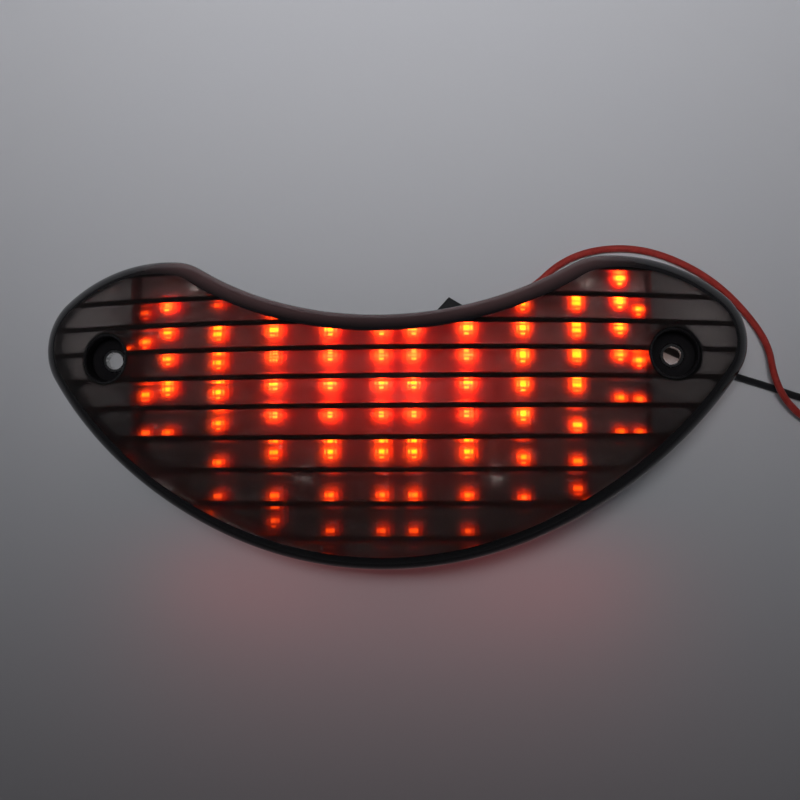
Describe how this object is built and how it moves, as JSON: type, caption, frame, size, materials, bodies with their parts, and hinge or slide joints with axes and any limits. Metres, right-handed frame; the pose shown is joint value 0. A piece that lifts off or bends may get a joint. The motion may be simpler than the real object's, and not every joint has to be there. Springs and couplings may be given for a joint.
{
  "type": "tail light",
  "caption": "Crescent-shaped wrap-round LED tail light with a smoked ribbed lens, black housing, screw wells and loose leads",
  "frame": {"origin": "middle of the lamp's outline, at the flat back that it rests on", "axes": "+X is the lamp's width, +Y is up on the motorcycle, +Z points out of the lens"},
  "size_m": [0.2845, 0.1073, 0.059],
  "materials": {
    "smoked_lens": "clear gloss, smoke-tinted polycarbonate",
    "seal": "matt silicone bead",
    "black_housing": "fine-grained black ABS",
    "sleeve_steel": "zinc-plated",
    "board": "dark solder mask",
    "screw_steel": "zinc-plated",
    "component": "moulded",
    "capacitor": "shrink sleeve",
    "rubber_black": "matt",
    "red_insulation": "PVC",
    "black_insulation": "PVC",
    "bullet_brass": "bright",
    "bullet_cover": "soft vinyl",
    "led_red": "clear red epoxy"
  },
  "bodies": {
    "root": {"lens": "smoked_lens", "lens_seal": "seal", "housing": "black_housing", "mount_sleeve_left": "sleeve_steel", "mount_sleeve_right": "sleeve_steel", "circuit_board": "board", "board_screws": "screw_steel", "string_resistors": "component", "polarity_diode": "component", "brake_regulator": "component", "smoothing_capacitor": "capacitor", "breather_cap": "rubber_black", "lead_grommet": "rubber_black", "inner_leads": "red_insulation", "red_lead": "red_insulation", "black_lead": "black_insulation", "red_bullet": "bullet_brass", "black_bullet": "bullet_brass", "red_bullet_cover": "bullet_cover", "black_bullet_cover": "bullet_cover", "leds_column_01": "led_red", "leds_column_02": "led_red", "leds_column_03": "led_red", "leds_column_04": "led_red", "leds_column_05": "led_red", "leds_column_06": "led_red", "leds_column_07": "led_red", "leds_column_08": "led_red", "leds_column_09": "led_red", "leds_column_10": "led_red", "leds_column_11": "led_red", "leds_column_12": "led_red"}
  },
  "joints": []
}
